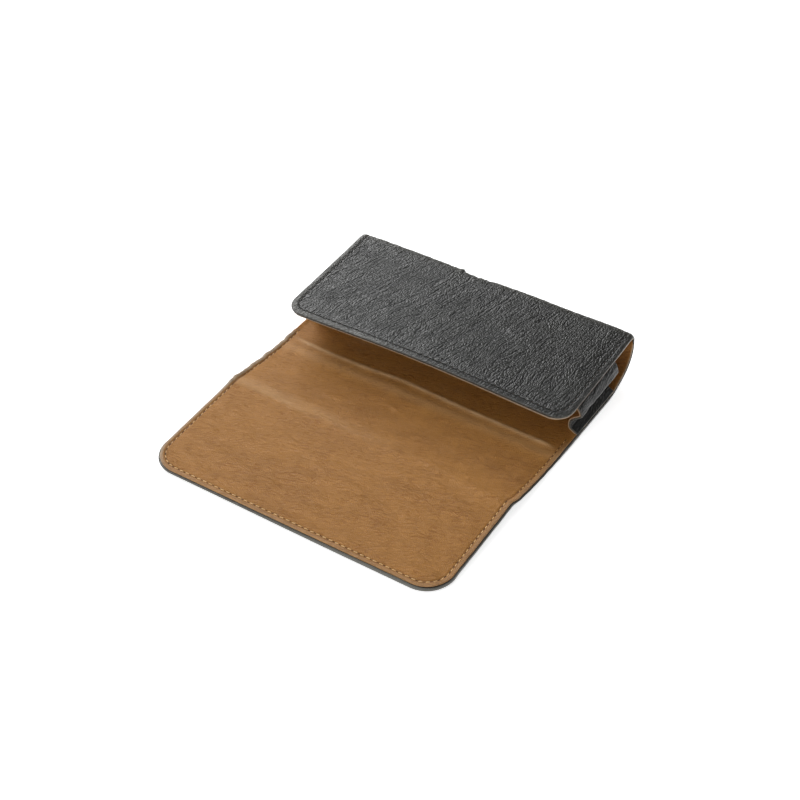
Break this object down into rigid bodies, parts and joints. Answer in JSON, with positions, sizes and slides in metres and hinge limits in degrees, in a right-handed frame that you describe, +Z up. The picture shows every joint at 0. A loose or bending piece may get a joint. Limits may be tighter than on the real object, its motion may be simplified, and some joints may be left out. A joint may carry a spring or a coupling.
{
  "type": "leather flap pouch",
  "caption": "Soft horizontal pouch of black grained leather, lined in tan, lying open on its back: boxed pocket with folded side gussets, creased spine and a stiff fold-over flap.",
  "frame": {"origin": "middle of the open pouch's footprint, on the surface that it lies on", "axes": "+X along the width, to the right when looking into the mouth from the flap; +Y from the flap's near edge to the closed bottom of the pouch; +Z up, away from the surface"},
  "size_m": [0.1412, 0.1648, 0.0233],
  "materials": {
    "black_leather": "semi-gloss creased grain",
    "tan_lining": "smooth fine grain, satin",
    "board": "matt bonded fibre board",
    "black_thread": "waxed twisted thread",
    "pale_thread": "twisted thread",
    "magnet_nickel": "nickel plated",
    "steel_disc": "plain"
  },
  "bodies": {
    "pouch": {"back_outer_leather": "black_leather", "back_stiffener": "board", "back_lining": "tan_lining", "bottom_outer_leather": "black_leather", "bottom_lining": "tan_lining", "gusset_left_leather": "black_leather", "gusset_left_lining": "tan_lining", "gusset_right_leather": "black_leather", "gusset_right_lining": "tan_lining"},
    "front_panel": {"front_outer_leather": "black_leather", "front_stiffener": "board", "front_lining": "tan_lining", "front_steel_disc_left": "steel_disc", "front_steel_disc_right": "steel_disc", "front_stitching": "black_thread"},
    "spine_lower": {"spine_lower_leather": "black_leather", "spine_lower_lining": "tan_lining"},
    "spine_middle": {"spine_middle_leather": "black_leather", "spine_middle_lining": "tan_lining"},
    "spine_upper": {"spine_upper_leather": "black_leather", "spine_upper_lining": "tan_lining"},
    "flap": {"flap_outer_leather": "black_leather", "flap_stiffener": "board", "flap_lining": "tan_lining", "flap_magnet_left": "magnet_nickel", "flap_magnet_right": "magnet_nickel", "flap_stitching": "pale_thread"}
  },
  "joints": [
    {"name": "mouth", "type": "hinge", "parent": "pouch", "child": "front_panel", "pos_m": [0, 0.0811, 0.0197], "axis": [-1, 0, 0], "range_deg": [-6, 0], "stiffness_Nm_per_rad": 0.15, "springref_deg": 6.88, "deforming": ["gusset_left_leather", "gusset_left_lining", "gusset_right_leather", "gusset_right_lining"]},
    {"name": "back_crease", "type": "hinge", "parent": "pouch", "child": "spine_lower", "pos_m": [0, 0.0168, 0.0025], "axis": [-1, 0, 0], "range_deg": [0, 9.1]},
    {"name": "spine_bend_lower", "type": "hinge", "parent": "spine_lower", "child": "spine_middle", "pos_m": [0, 0.0025, 0.00285], "axis": [-1, 0, 0], "range_deg": [0, 75.8]},
    {"name": "spine_bend_upper", "type": "hinge", "parent": "spine_middle", "child": "spine_upper", "pos_m": [0, -0.0117, 0.00415], "axis": [-1, 0, 0], "range_deg": [0, 76.9]},
    {"name": "flap_crease", "type": "hinge", "parent": "spine_upper", "child": "flap", "pos_m": [0, -0.0258, 0.00615], "axis": [-1, 0, 0], "range_deg": [0, 20.1]}
  ],
  "couplings": [
    {"joint": "back_crease", "follows": "spine_bend_lower", "ratio": 0.11838},
    {"joint": "spine_bend_upper", "follows": "spine_bend_lower", "ratio": 1.013},
    {"joint": "flap_crease", "follows": "spine_bend_lower", "ratio": 0.26373}
  ]
}
